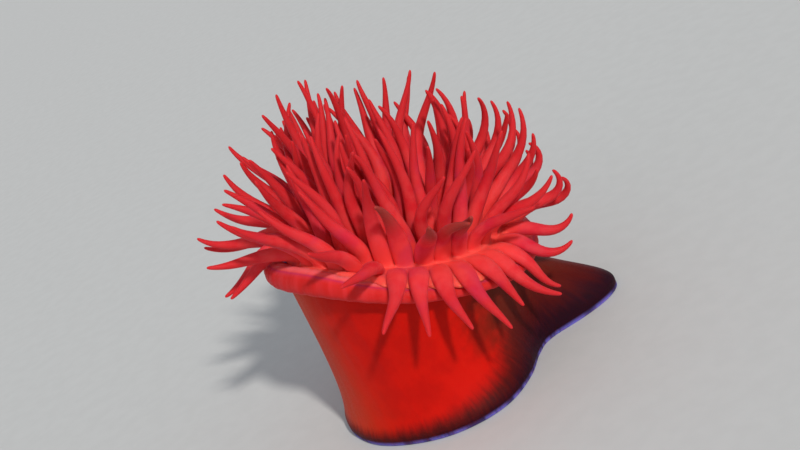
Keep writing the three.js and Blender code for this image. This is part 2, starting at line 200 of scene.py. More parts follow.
def disc_place(points):
    """The radius, azimuth and height of points over the disc: on_disc turned round."""
    offset = points - DISC_CENTRE
    x, y = offset @ DISC_RIGHT, offset @ DISC_BACK
    radius, azimuth = np.hypot(x, y), np.arctan2(y, x)
    return radius, azimuth, offset @ DISC_UP - disc_warp(radius, azimuth)


def collar_section(azimuth):
    """The height of the collar's middle over the disc, and half its height."""
    half_tall = compass(COLLAR_HALF_TALL, azimuth)
    return COLLAR_UNDERSIDE + half_tall, half_tall


def foot_rim(azimuth, inset, height):
    azimuth = np.asarray(azimuth, float)
    reach = compass(FOOT_REACH, azimuth) - inset
    level = np.broadcast_to(height, azimuth.shape)
    return np.stack([reach * np.cos(azimuth), reach * np.sin(azimuth), level], -1)


def wall_point(azimuth, share):
    """A point on the body wall, from above the foot's rim at 0 to below the collar at 1."""
    bottom = foot_rim(azimuth, 0, WALL_START)
    flare = foot_rim(azimuth, compass(SKIRT_INSET, azimuth), compass(SKIRT_RISE, azimuth))
    shoulder_height = WALL_TOP_HEIGHT - compass(SHOULDER_DROP, azimuth)
    shoulder = on_disc(compass(SHOULDER_RADIUS, azimuth), azimuth, shoulder_height)
    top = on_disc(WALL_TOP_RADIUS, azimuth, WALL_TOP_HEIGHT)
    rest = 1 - share
    lower = rest**3 * bottom + 3 * rest**2 * share * flare
    return lower + 3 * rest * share**2 * shoulder + share**3 * top


# ---- how the tentacles lie

def girth_at(share, girth):
    slim = (1 - share) ** TAPER * (1 - HOLLOW * np.sin(math.pi * share))
    root = 1 - ROOT_NARROWING * (1 - smoothstep(0, ROOT_LENGTH, share))
    return (TIP_RADIUS + (girth - TIP_RADIUS) * slim) * root


def grow_tentacle(ring_index, azimuth, serial):
    """One tentacle's points: it leans outwards, hooks at the tip and sways sideways."""
    ring = RINGS[ring_index]
    outer_share = (ring_index / (len(RINGS) - 1)) ** compass(LEAN_DELAY, azimuth)
    lean = mix(compass(INNER_LEAN, azimuth), compass(OUTER_LEAN, azimuth), outer_share)
    lean += LEAN_SCATTER * scatter(serial, "lean")
    hook = compass(TIP_HOOK, azimuth) * mix(INNER_HOOK, 1, outer_share)
    hook += HOOK_SCATTER * scatter(serial, "hook")
    curl = CURL_SCATTER * scatter(serial, "curl") + compass(SWEEP, azimuth) * outer_share
    wave = WAVE_SCATTER * scatter(serial, "wave")
    reach = mix(compass(INNER_REACH, azimuth), compass(OUTER_REACH, azimuth), outer_share)
    length = ring["length"] * reach * (1 + LENGTH_SCATTER * scatter(serial, "length"))
    outwards = math.cos(azimuth) * DISC_RIGHT + math.sin(azimuth) * DISC_BACK
    sideways = math.cos(azimuth) * DISC_BACK - math.sin(azimuth) * DISC_RIGHT
    root_share = ROOT_LEAN + ROOT_LEAN_ADDED * smoothstep(*FAR_LEAN, lean)

    steps = SAMPLES - 1
    points = [on_disc(ring["radius"], azimuth, 0.0)]
    for k in range(steps):
        t = (k + 0.5) / steps
        bend = lean * mix(root_share, 1, min(1, t / LEAN_WHOLE))
        bend += hook * max(0, (t - HOOK_START) / (1 - HOOK_START)) ** HOOK_GROWTH
        angle = math.radians(bend)
        heading = math.cos(angle) * DISC_UP + math.sin(angle) * outwards
        heading += (curl * t + wave * math.sin(TURN * t)) * sideways
        heading += CURRENT * mix(CURRENT_AT_ROOT, 1, t) * DISC_RIGHT
        points.append(points[-1] + heading / np.linalg.norm(heading) * length / steps)
    return points


def grow_crown():
    """Every tentacle of the crown: its ring, azimuth, points and girths."""
    rings, azimuths, points = [], [], []
    for ring_index, ring in enumerate(RINGS):
        turn = 0.5 if ring_index % 2 else 0.0
        for k in range(ring["tentacles"]):
            azimuth = (k + turn) * TURN / ring["tentacles"]
            points.append(grow_tentacle(ring_index, azimuth, len(points) + 1))
            rings.append(ring_index)
            azimuths.append(azimuth)
    shares = np.linspace(0, 1, SAMPLES)
    girths = np.array([girth_at(shares, RINGS[ring]["girth"]) for ring in rings])
    return dict(rings=rings, azimuths=azimuths, points=np.array(points), girths=girths)


def near_pairs(balls, owners, girths):
    gaps = np.linalg.norm(balls[:, None, :] - balls[None, :, :], axis=2)
    reach = girths[:, None] + girths[None, :] + SPREAD_GAP + SEARCH_MARGIN
    return np.nonzero((gaps < reach) & (owners[:, None] < owners[None, :]))


def push_apart(balls, pairs, girths, freedom):
    first, second = pairs
    away = balls[first] - balls[second]
    distance = np.linalg.norm(away, axis=1)
    overlap = np.maximum(0, girths[first] + girths[second] + SPREAD_GAP - distance)
    move = away * (0.5 * overlap / distance)[:, None]
    touching = (overlap > 0).astype(float)
    count = len(balls)
    hits = np.bincount(first, touching, count) + np.bincount(second, touching, count)
    push = np.stack(
        [np.bincount(first, part, count) - np.bincount(second, part, count) for part in move.T], 1
    )
    return balls + push * (freedom / np.sqrt(np.maximum(hits, 1)))[:, None]


def keep_off_collar(balls, girths, freedom):
    radius, azimuth, height = disc_place(balls)
    middle, half_tall = collar_section(azimuth)
    squash = half_tall / COLLAR_HALF_WIDTH
    across = radius - COLLAR_RADIUS
    above = (height - middle) / squash
    distance = np.hypot(across, above)
    overlap = np.maximum(0, COLLAR_HALF_WIDTH + girths + COLLAR_GAP - distance)
    move = freedom * overlap / distance
    moved = on_disc(radius + move * across, azimuth, height + move * above * squash)
    return np.where((overlap > 0)[:, None], moved, balls)


def settle(points, start, steps):
    """Smooths what the pushes did, then gives every step its length back."""
    shift = points - start
    mean = (shift[:, 1:-2] + shift[:, 3:]) / 2
    shift[:, 2:-1] += EASING * (mean - shift[:, 2:-1])
    points = start + shift
    for k in range(2, SAMPLES):
        heading = points[:, k] - points[:, k - 1]
        heading /= np.linalg.norm(heading, axis=1, keepdims=True)
        points[:, k] = points[:, k - 1] + heading * steps
    return points


def spread_crown(crown):
    """Eases neighbouring tentacles apart, and off the collar, over many small rounds."""
    start = crown["points"].copy()
    steps = np.linalg.norm(start[:, 1] - start[:, 0], axis=1, keepdims=True)
    count = len(start)
    owners = np.repeat(np.arange(count), SAMPLES)
    girths = crown["girths"].ravel()
    one = np.ones(SAMPLES)
    one[: len(ROOT_FREEDOM)] = ROOT_FREEDOM
    freedom = np.tile(one, count)
    balls = start.reshape(-1, 3)
    for turn in range(SPREAD_ROUNDS):
        if turn % SEARCH_EVERY == 0:
            pairs = near_pairs(balls, owners, girths)
        balls = push_apart(balls, pairs, girths, freedom)
        balls = keep_off_collar(balls, girths, freedom)
        balls = settle(balls.reshape(count, SAMPLES, 3), start, steps).reshape(-1, 3)
    crown["points"] = balls.reshape(count, SAMPLES, 3)
    return crown


# ---- the cage of the skin

WALL_COLUMNS = 216
WALL_ROWS = 17
UNDERSIDE_ROWS = ((24, 0.3), (72, 0.7))
# The foot's edge: how far in from the full reach, and how high.
EDGE_PROFILE = ((0.9, 0.0), (0.35, 0.0), (0.02, 0.2), (0.1, 0.6))
COLLAR_ANGLES = (-128, -100, -76, -52, -30, -10, 10, 30, 48, 64, 80, 96, 112, 128, 142)
COLLAR_SQUARENESS = 2.3
# The angles between which the collar's side turns into its upper shelf.
SHELF_ANGLES = (38, 85)
# The crease under the collar, and how much of its colour is the collar's.
CREASE_RADIUS = 16.45
CREASE_HEIGHT = -3.42
CREASE_COLLAR = 0.3
FOSSE_RADIUS = 16.85
FOSSE_SHARE = 0.25

# A tentacle grows from a cell of the crown. Its stations are shares of its length.
CELL_HALF = 0.95
CELL_HEIGHT = -0.1
ROOT_FLARE = 0.18
ROOT_FILL = 0.93
STATIONS = (0.03, 0.10, 0.20, 0.32, 0.45, 0.58, 0.71, 0.83, 0.93, 0.985)
RING_SIDES = 8
CAGE_SWELL = 1 / 0.925
CAP_RISE = 1.2
TIP_FINENESS = 0.22
FINE_FROM = 0.6

# The frill that joins the outer tentacles' roots and lies over the collar at the front:
# its rows' radius past the groove, height over the collar's top, and share of the way up
# to the roots where there is no frill. Its lobes stand between the tentacles.
FRILL = [0.5, 0.1, 0.0, 0.0, 0.0, 0.4, 1.0, 0.9]
FRILL_ROWS = ((0.9, 0.12, 0.15), (2.3, 0.1, 0.3), (3.1, -0.15, 0.45), (2.7, 0.6, 0.6), (1.2, 1.1, 0.8))
FRILL_TIP = (1.5, 3.0)
FRILL_VALLEY = 0.68
FRILL_SCATTER = 0.3

# How much wider than thick the tentacles of the outermost two rings are, low down.
PETAL_RINGS = ("fourth", "outer")
PETAL = [0.05, 0.0, 0.0, 0.0, 0.0, 0.1, 0.36, 0.28]
PETAL_OPENS = (0, 0.12)
PETAL_CLOSES = (0.22, 0.7)
PETAL_THINNESS = 0.6
PETAL_SINK = 0.8

# The oral disc's rows: radius and height over the disc, from the tentacles inwards.
DISC_ROWS = ((5.5, -0.25), (4.6, -0.3), (3.8, -0.2))
# The mouth's rows from the foot of the lips to the slit's bottom: half length, half width, height.
MOUTH_ROWS = (
    (3.0, 2.1, 0.0),
    (2.85, 1.9, 0.6),
    (2.5, 1.55, 1.05),
    (2.1, 1.1, 1.25),
    (1.8, 0.65, 1.0),
    (1.6, 0.32, 0.45),
    (1.4, 0.22, 0.0),
)
LIP_FLUTES = 11
LIP_FLUTE_DEPTH = 0.07

# Where each patch of skin lies on the bake's square: left, bottom, right, top.
WALL_PATCH = (0.005, 0.005, 0.985, 0.30)
DISC_PATCH = (0.005, 0.31, 0.24, 0.545)
UNDER_PATCH = (0.25, 0.31, 0.485, 0.545)
CROWN_PATCH = (0.005, 0.56, 0.995, 0.995)
CROWN_PATCH_COLUMNS = 45
PATCH_FILL = 0.86
DISC_PLAN_REACH = 1.05 * WALL_TOP_RADIUS
UNDER_PLAN_REACH = 1.02 * max(FOOT_REACH)

# The width of the dark band above the foot's edge, how much of the column's red has given way
# to olive brown (partly its darker colour, partly painted shade) and how much painted light, a paler
# orange glow through the flesh, lies on the shaded left side.
WALL_TRAITS = dict(
    band=[9.0, 5.0, 3.5, 3.0, 2.6, 2.6, 4.0, 8.0],
    dusk=[1.0, 0.8, 0.5, 0.2, 0, 0, 0, 0, 0, 0, 0, 0, 0.15, 0.5, 0.9, 1.0],
    flank=[0.0, 0.0, 0.0, 0.5, 1.0, 0.3, 0.0, 0.0],
)
NUMBER_TRAITS = (
    *WALL_TRAITS, "rise", "collar", "shelf", "crown", "along", "tint", "smoke", "lobe", "oral", "lip"
)


def in_patch(patch, x, y):
    left, bottom, right, top = patch
    return (left + (right - left) * x, bottom + (top - bottom) * y)


def unroll(row_low, row_high, rows):
    """The wall unrolled on its patch: azimuth runs across and the rows run up."""
    return lambda point, turn, high: in_patch(
        WALL_PATCH, turn, (row_high if high else row_low) / rows
    )


def flatten(patch, centre, across, along, reach):
    """A patch seen square on, out to a reach from its centre."""
    def place(point, turn, high):
        offset = point - centre
        return in_patch(
            patch, 0.5 + 0.5 * (offset @ across) / reach, 0.5 + 0.5 * (offset @ along) / reach
        )
    return place


class Cage:
    """The coarse skin: points with their traits, and faces with their places on the bake."""

    def __init__(self):
        self.points = []
        self.turns = []
        self.numbers = {name: [] for name in NUMBER_TRAITS}
        self.faces = []
        self.places = []

    def add(self, points, azimuths, **traits):
        """Adds points and returns their indices. A trait is one number, or one for each point."""
        points = np.atleast_2d(points)
        first = len(self.points)
        around = np.broadcast_to(azimuths, len(points))
        self.points.extend(points)
        self.turns.extend(np.stack([np.cos(around), np.sin(around), 0 * around], 1))
        for name, values in self.numbers.items():
            values.extend(np.broadcast_to(traits.get(name, 0.0), len(points)))
        return list(range(first, len(self.points)))

    def face(self, corners, places):
        self.faces.append(corners)
        self.places.extend(places)

    def strip(self, low, high, place):
        """Joins two rings that start at azimuth 0: quads where their points fall in step,
        triangles where they don't. place finds a corner's spot on the bake from its point,
        its share of a turn and whether it is on the high ring."""
        low_count, high_count = len(low), len(high)
        i = j = 0
        while i < low_count or j < high_count:
            lead = (i + 1) * high_count - (j + 1) * low_count
            corners = [(low, i, False)]
            if lead <= 0:
                corners.append((low, i + 1, False))
            if lead >= 0:
                corners.append((high, j + 1, True))
            corners.append((high, j, True))
            indices = [ring[k % len(ring)] for ring, k, _ in corners]
            places = [
                place(self.points[index], k / len(ring), is_high)
                for index, (ring, k, is_high) in zip(indices, corners)
            ]
            self.face(indices, places)
            i += lead <= 0
            j += lead >= 0

    def fan(self, ring, centre, place, upwards):
        """Closes a ring with triangles round a middle point."""
        for k, first in enumerate(ring):
            second = ring[(k + 1) % len(ring)]
            corners = (first, second, centre) if upwards else (second, first, centre)
            self.face(corners, [place(self.points[index], 0, False) for index in corners])


def disc_plan():
    """The disc, the mouth and the skin between the roots on their patch, seen square on."""
    return flatten(DISC_PATCH, DISC_CENTRE, DISC_RIGHT, DISC_BACK, DISC_PLAN_REACH)


def collar_point(azimuth, angle):
    """A point on the collar's roll, at an angle round its rounded-square section."""
    middle, half_tall = collar_section(azimuth)
    c, s = math.cos(math.radians(angle)), math.sin(math.radians(angle))
    power = 2 / COLLAR_SQUARENESS
    across = math.copysign(abs(c) ** power, c) * COLLAR_HALF_WIDTH
    above = math.copysign(abs(s) ** power, s) * half_tall
    return on_disc(COLLAR_RADIUS + across, azimuth, middle + above)


def body_rows(azimuths):
    """Rows of points from the foot's edge to the groove inside the collar, each with how much
    of it is collar and how much is the collar's upper shelf."""
    rows = [(foot_rim(azimuths, inset, height), 0.0, 0.0) for inset, height in EDGE_PROFILE]
    for k in range(WALL_ROWS + 1):
        rows.append((wall_point(azimuths, k / WALL_ROWS), 0.0, 0.0))
    rows.append((on_disc(CREASE_RADIUS, azimuths, CREASE_HEIGHT), CREASE_COLLAR, 0.0))
    for angle in COLLAR_ANGLES:
        rows.append((collar_point(azimuths, angle), 1.0, smoothstep(*SHELF_ANGLES, angle)))
    middle, half_tall = collar_section(azimuths)
    rows.append((on_disc(FOSSE_RADIUS, azimuths, middle + FOSSE_SHARE * half_tall), 1.0, 1.0))
    return rows


def frill_rows(azimuths):
    """Rows of points from the groove inside the collar to the outer tentacles' roots."""
    amount = np.clip(compass(FRILL, azimuths), 0, 1)
    tentacles = RINGS[-1]["tentacles"]
    sizes = [1 + FRILL_SCATTER * scatter(k + 1, "lobe") for k in range(tentacles)]
    lobe = 0.5 - 0.5 * np.cos(tentacles * azimuths)
    reach = (FRILL_VALLEY + (1 - FRILL_VALLEY) * lobe) * compass(sizes, azimuths)
    middle, half_tall = collar_section(azimuths)
    low = middle + FOSSE_SHARE * half_tall
    edge = RINGS[-1]["radius"] + CELL_HALF
    rows = []
    for out, over, share in FRILL_ROWS:
        plain_radius, plain_height = mix(FOSSE_RADIUS, edge, share), mix(low, CELL_HEIGHT, share)
        radius = mix(plain_radius, FOSSE_RADIUS + out * reach, amount)
        height = mix(plain_height, middle + half_tall + over, amount)
        tip = amount * lobe * smoothstep(*FRILL_TIP, out)
        rows.append((on_disc(radius, azimuths, height), tip))
    return rows


def grow_body(cage):
    """The underside, the foot's edge, the wall, the collar and the frill. Returns the last
    ring."""
    right, back, _ = np.eye(3)
    flat = flatten(UNDER_PATCH, np.zeros(3), right, back, UNDER_PLAN_REACH)
    ring = None
    centre = cage.add(np.zeros(3), 0.0)[0]
    for count, share in UNDERSIDE_ROWS:
        around = spaced(count)
        wider = cage.add(foot_rim(around, 0, 0) * share, around)
        if ring is None:
            cage.fan(wider, centre, flat, upwards=False)
        else:
            cage.strip(ring, wider, flat)
        ring = wider

    azimuths = spaced(WALL_COLUMNS)
    traits = {name: compass(values, azimuths) for name, values in WALL_TRAITS.items()}
    rows = body_rows(azimuths)
    row_count = len(rows) + len(FRILL_ROWS)
    rise = np.zeros(WALL_COLUMNS)
    below = rows[0][0]
    for k, (points, collar, shelf) in enumerate(rows):
        rise = rise + np.linalg.norm(points - below, axis=1)
        below = points
        higher = cage.add(points, azimuths, rise=rise, collar=collar, shelf=shelf, **traits)
        place = flat if k == 0 else unroll(k - 1, k, row_count - 1)
        cage.strip(ring, higher, place)
        ring = higher
    for k, (points, lobe) in enumerate(frill_rows(azimuths), len(rows)):
        higher = cage.add(points, azimuths, crown=1.0, lobe=lobe)
        cage.strip(ring, higher, unroll(k - 1, k, row_count - 1))
        ring = higher
    return ring


def path_at(path, share):
    """A point and heading at a share of a tentacle's length, along a smooth curve."""
    spans = len(path) - 1
    place = min(max(share, 0.0), 1.0) * spans
    k = min(int(place), spans - 1)
    f = place - k
    longer = [2 * path[0] - path[1], *path, 2 * path[-1] - path[-2]]
    a, b, c, d = longer[k : k + 4]
    point = spline(a, b, c, d, f)
    heading = 0.5 * (c - a + f * (2 * (2 * a - 5 * b + 4 * c - d) + 3 * f * (3 * (b - c) + d - a)))
    return point, heading / np.linalg.norm(heading)


def carry(vector, before, after):
    """Turns a vector with the smallest turn that brings one heading to another."""
    axis = np.cross(before, after)
    once = np.cross(axis, vector)
    return vector + once + np.cross(axis, once) / (1 + before @ after)


def petal_at(share):
    """How much of a tentacle's petal width it has at a share of its length."""
    return float(smoothstep(*PETAL_OPENS, share) * (1 - smoothstep(*PETAL_CLOSES, share)))


def grow_tentacle_skin(cage, block, azimuth, path, plan, serial):
    """Extrudes one tentacle from the eight points round its root."""
    cell_half = ROOT_FILL * math.pi * plan["radius"] / plan["tentacles"]
    side = math.cos(azimuth) * DISC_RIGHT + math.sin(azimuth) * DISC_BACK
    patch = tentacle_patch(serial)
    tint = scatter(serial, "tint")
    width = float(compass(PETAL, azimuth)) * (plan["name"] in PETAL_RINGS)
    smoky = plan["name"] == SMOKY_RING and SMOKY_FROM < azimuth < SMOKY_TO
    levels = len(STATIONS) + 2
    ring = block
    before = DISC_UP
    for level, share in enumerate(STATIONS):
        point, heading = path_at(path, share)
        side = carry(side, before, heading)
        before = heading
        other = np.cross(heading, side)
        flare = 1 - smoothstep(0, ROOT_FLARE, share)
        sunk = PETAL_SINK * width * flare
        point = point - sunk * (DISC_UP - (DISC_UP @ heading) * heading)
        fineness = 1 - TIP_FINENESS * smoothstep(FINE_FROM, 1, share)
        radius = girth_at(share, plan["girth"]) * fineness
        petal = width * petal_at(share)
        deep = CAGE_SWELL * mix(radius, CELL_HALF, flare) * (1 - PETAL_THINNESS * petal)
        wide = CAGE_SWELL * mix(radius, cell_half, flare) * (1 + petal)
        corners = [
            point + deep * math.cos(angle) * side + wide * math.sin(angle) * other
            for angle in spaced(RING_SIDES)
        ]
        traits = dict(crown=1.0, along=share, tint=tint, smoke=float(smoky))
        higher = cage.add(np.array(corners), azimuth, **traits)
        join_rings(cage, ring, higher, patch, level / levels, (level + 1) / levels)
        ring = higher
    tip = cage.add(point + CAP_RISE * radius * heading, azimuth, **traits)[0]
    top = (levels - 1) / levels
    for k in range(0, RING_SIDES, 2):
        corners = [ring[(k + step) % RING_SIDES] for step in range(3)]
        places = [patch((k + step) / RING_SIDES, top) for step in range(3)]
        cage.face([*corners, tip], [*places, patch((k + 1) / RING_SIDES, 1.0)])


def tentacle_patch(serial):
    """The rule that puts one tentacle in its own cell of the crown's patch."""
    tentacles = sum(ring["tentacles"] for ring in RINGS)
    rows = math.ceil(tentacles / CROWN_PATCH_COLUMNS)
    row, column = divmod(serial - 1, CROWN_PATCH_COLUMNS)
    margin = (1 - PATCH_FILL) / 2
    def place(x, y):
        across = (column + margin + PATCH_FILL * x) / CROWN_PATCH_COLUMNS
        up = (row + margin + PATCH_FILL * y) / rows
        return in_patch(CROWN_PATCH, across, up)
    return place


def join_rings(cage, ring, higher, patch, low, high):
    for k in range(RING_SIDES):
        after = (k + 1) % RING_SIDES
        corners = (ring[k], ring[after], higher[after], higher[k])
        x, next_x = k / RING_SIDES, (k + 1) / RING_SIDES
        cage.face(corners, [patch(x, low), patch(next_x, low), patch(next_x, high), patch(x, high)])


def root_row(cage, ring_index, offset):
    """A row of points round a tentacle ring, two for each tentacle."""
    ring = RINGS[ring_index]
    azimuths = spaced(2 * ring["tentacles"])
    points = on_disc(ring["radius"] + offset, azimuths, CELL_HEIGHT)
    return cage.add(points, azimuths, crown=1.0)


def grow_crown_skin(cage, crown, ring):
    """The tentacles and the skin between their roots, from the outer ring inwards.
    Returns the innermost ring of points."""
    plan = disc_plan()
    for ring_index in reversed(range(len(RINGS))):
        outer, middle, inner = (
            root_row(cage, ring_index, offset) for offset in (CELL_HALF, 0.0, -CELL_HALF)
        )
        cage.strip(ring, outer, plan)
        count = len(outer)
        for serial, tentacle_ring in enumerate(crown["rings"]):
            if tentacle_ring != ring_index:
                continue
            azimuth = crown["azimuths"][serial]
            at = round(azimuth / TURN * count)
            before, after = (at - 1) % count, (at + 1) % count
            block = [
                outer[at], outer[after], middle[after], inner[after],
                inner[at], inner[before], middle[before], outer[before],
            ]
            path = crown["points"][serial]
            grow_tentacle_skin(cage, block, azimuth, path, RINGS[ring_index], serial + 1)
        ring = inner
    return ring


def grow_mouth(cage, ring):
    """The oral disc, the lips and the slit between them."""
    plan = disc_plan()
    azimuths = spaced(len(ring))
    for radius, height in DISC_ROWS:
        inner = cage.add(on_disc(radius, azimuths, height), azimuths, oral=1.0)
        cage.strip(ring, inner, plan)
        ring = inner
    flutes = 1 + LIP_FLUTE_DEPTH * np.cos(LIP_FLUTES * azimuths)
    for half_length, half_width, height in MOUTH_ROWS:
        across = half_length * np.cos(azimuths) * flutes
        back = half_width * np.sin(azimuths) * flutes
        points = on_disc(np.hypot(across, back), np.arctan2(back, across), height)
        inner = cage.add(points, azimuths, oral=1.0, lip=1.0)
        cage.strip(ring, inner, plan)
        ring = inner
    centre = cage.add(on_disc(0.0, 0.0, MOUTH_ROWS[-1][2]), 0.0, oral=1.0, lip=1.0)[0]
    cage.fan(ring, centre, plan, upwards=True)


# ---- the skin's fine shape

# Each wave of folds has a count and a share, and wanders: how many times, and how far.
COLLAR_WAVES = ((41, 0.5, 3, 1.3), (67, 0.3, 5, 2.1), (101, 0.2, 7, 1.7))
WALL_WAVES = ((23, 0.5, 2, 1.1), (37, 0.35, 5, 1.6), (59, 0.25, 3, 2.3))
# How far up the skin, in mm, the wall's folds set in.
WALL_FOLDS_FROM = (0.5, 3.0)


def ripple(azimuth, waves):
    """The height of uneven folds round the body, between about -1 and 1."""
    return sum(
        share * np.sin(count * azimuth + wander * np.sin(slow * azimuth))
        for count, share, slow, wander in waves
    )


def make_cage_mesh(cage):
    mesh = bpy.data.meshes.new("Animal_skin")
    mesh.from_pydata(np.array(cage.points) * MM, [], cage.faces)
    for name, values in cage.numbers.items():
        trait = mesh.attributes.new(name, "FLOAT", "POINT")
        trait.data.foreach_set("value", np.array(values, np.float32))
    turn = mesh.attributes.new("turn", "FLOAT_VECTOR", "POINT")
    turn.data.foreach_set("vector", np.array(cage.turns, np.float32).ravel())
    bake = mesh.uv_layers.new(name="OFBake")
    bake.uv.foreach_set("vector", np.array(cage.places, np.float32).ravel())
    return mesh


def smooth_once(body):
    """Replaces a mesh by itself, rounded by one level of subdivision."""
    rounding = body.modifiers.new("Rounding", "SUBSURF")
    rounding.levels = rounding.render_levels = 1
    rounding.uv_smooth = "NONE"
    evaluated = body.evaluated_get(bpy.context.evaluated_depsgraph_get())
    rounded = bpy.data.meshes.new_from_object(evaluated)
    body.modifiers.remove(rounding)
    body.data = rounded
    rounded.name = "Animal_skin"


def read(collection, key, *shape):
    values = np.empty((len(collection), *shape), np.float32)
    collection.foreach_get(key, values.ravel())
    return values.astype(float)


def wrinkle(mesh, shape):
    """Raises the folds of the wall and the collar along the skin's own normals."""
    points = read(mesh.vertices, "co", 3)
    normals = read(mesh.vertex_normals, "vector", 3)
    turn = read(mesh.attributes["turn"].data, "vector", 3)
    azimuth = np.arctan2(turn[:, 1], turn[:, 0])
    rise, collar, crown, oral = (
        read(mesh.attributes[name].data, "value") for name in ("rise", "collar", "crown", "oral")
    )
    body = (1 - crown) * (1 - oral)
    wall = body * (1 - collar) * smoothstep(*WALL_FOLDS_FROM, rise)
    fold = collar * body * shape.collar_folds / MM * ripple(azimuth, COLLAR_WAVES)
    fold += wall * shape.wall_folds / MM * ripple(azimuth, WALL_WAVES)
    points += normals * fold[:, None] * MM
    points[:, 2] = np.maximum(points[:, 2], 0)
    mesh.vertices.foreach_set("co", points.astype(np.float32).ravel())
    mesh.update()


def add_object(name, data):
    made = bpy.data.objects.new(name, data)
    bpy.context.scene.collection.objects.link(made)
    return made


def make_skin(shape):
    crown = spread_crown(grow_crown())
    cage = Cage()
    ring = grow_body(cage)
    ring = grow_crown_skin(cage, crown, ring)
    grow_mouth(cage, ring)
    skin = add_object("Animal_skin", make_cage_mesh(cage))
    smooth_once(skin)
    wrinkle(skin.data, shape)
    skin.data.shade_smooth()
    return skin


# ---- finishes

# A few tentacles at the front of one ring have smoky brown ends.
SMOKY_RING = "fourth"
SMOKY_FROM = math.radians(262)
SMOKY_TO = math.radians(302)

# How far red, green and blue light spread in the flesh and in the beads, against one another.
FLESH_GLOW = (1.0, 0.12, 0.10)
BEAD_GLOW = (0.5, 0.6, 1.0)
WET_SHINE = 0.08
FLOOR_SHADE = 0.97
# The stretches of a noise that take in most of it, and its upper part.
MOST = (0.3, 0.7)
UPPER = (0.35, 0.7)


class Paint:
    """A material's node tree, wired by short calls."""

    def __init__(self, name):
        self.material = bpy.data.materials.new(name)
        self.material.use_nodes = True
        self.tree = self.material.node_tree

    def plug(self, sockets, values):
        """Wires an output to each named socket, or sets the socket to a plain value."""
        for name, value in values.items():
            if isinstance(value, bpy.types.NodeSocket):
                self.tree.links.new(value, sockets[name])
            else:
                sockets[name].default_value = value

    def finish(self, values):
        self.plug(self.tree.nodes["Principled BSDF"].inputs, values)
        return self.material

    def node(self, kind, values, output=0, **settings):
        """Adds a node with what goes into its sockets, and returns one of its outputs."""
        made = self.tree.nodes.new(kind)
        for name, value in settings.items():
            setattr(made, name, value)
        self.plug(made.inputs, values)
        return made.outputs[output]

    def trait(self, name, output="Fac"):
        return self.node("ShaderNodeAttribute", {}, output, attribute_name=name)

    def maths(self, operation, first, second):
        return self.node("ShaderNodeMath", {0: first, 1: second}, operation=operation)

    def times(self, first, second):
        return self.maths("MULTIPLY", first, second)

    def span(self, value, low, high, to_low=0.0, to_high=1.0):
        """Maps a stretch of values smoothly to another."""
        values = dict(enumerate((value, low, high, to_low, to_high)))
        return self.node("ShaderNodeMapRange", values, interpolation_type="SMOOTHSTEP")

    def fade(self, value, low, high, full=1.0):
        return self.span(value, low, high, full, 0.0)

    def blend(self, share, under, over):
        values = {"Factor": share, "A": under, "B": over}
        return self.node("ShaderNodeMix", values, "Result", data_type="RGBA")

    def coat(self, colour, *layers):
        """Lays colours over one another, each with the share of it that shows."""
        colour = rgba(colour)
        for share, over in layers:
            colour = self.blend(share, colour, rgba(over))
        return colour

    def noise(self, place, scale, detail=2.0, roughness=0.5):
        values = {"Vector": place, "Scale": scale, "Detail": detail, "Roughness": roughness}
        return self.node("ShaderNodeTexNoise", values, "Fac")

    def scaled(self, vector, scale):
        values = {"Vector": vector, "Scale": scale}
        return self.node("ShaderNodeVectorMath", values, operation="SCALE")

    def place(self):
        """The object's own coordinates in millimetres."""
        return self.scaled(self.node("ShaderNodeTexCoord", {}, "Object"), 1 / MM)

    def bump(self, height, distance, strength, **under):
        values = {"Strength": strength, "Distance": distance * MM, "Height": height}
        return self.node("ShaderNodeBump", values | under, "Normal")


def rgba(colour):
    return (*colour, 1.0)


def flesh(colour, normal, roughness, see_through, depth, glow):
    """The soft, wet shading that all the animal's surfaces share."""
    return {
        "Base Color": colour,
        "Normal": normal,
        "Roughness": roughness,
        "Subsurface Weight": see_through,
        "Subsurface Radius": glow,
        "Subsurface Scale": depth * MM,
        "Specular IOR Level": WET_SHINE,
    }


def streaks(paint, fineness, rise, stretch):
    """Noise drawn out up the wall: fine round the body and slow along it."""
    around = paint.scaled(paint.trait("turn", "Vector"), fineness)
    upwards = paint.node("ShaderNodeCombineXYZ", {"Z": paint.times(rise, stretch)})
    drawn = paint.node("ShaderNodeVectorMath", {0: around, 1: upwards}, operation="ADD")
    return paint.noise(drawn, 1.0, 3.0)


def wall_colour(paint, colours, place, rise, fine):
    """Red-orange, darkening through maroon to the foot, with a violet line at the edge."""
    mottle = paint.noise(place, 0.35, 4.0)
    patches = paint.span(mottle, 0.25, 0.75, 0.75, 1.0)
    # Painted light: the paler orange glow of light through the flesh on the column's shaded left side.
    flank = paint.times(paint.span(paint.trait("flank"), 0.2, 1.0), patches)
    # Painted shade with a darker colour: the olive-brown right side of the column.
    dusk = paint.maths("ADD", paint.trait("dusk"), paint.span(mottle, *MOST, -0.1, 0.1))
    share = paint.maths("DIVIDE", rise, paint.trait("band"))
    share = paint.maths("ADD", share, paint.span(fine, *MOST, -0.08, 0.08))
    ragged = paint.span(streaks(paint, 12.0, rise, 0.0), 0.35, 0.6, 0.25, 1.0)
    return paint.coat(
        colours.wall,
        (paint.span(mottle, *UPPER), colours.wall_shade),
        (flank, colours.wall_pale),
        (paint.span(dusk, 0.15, 0.85), colours.dusk),
        (paint.fade(share, 0.75, 1.7), colours.band),
        (paint.fade(share, 0.25, 0.95), colours.band_deep),
        (paint.times(paint.fade(rise, 0.8, 1.6), ragged), colours.edge_line),
    )


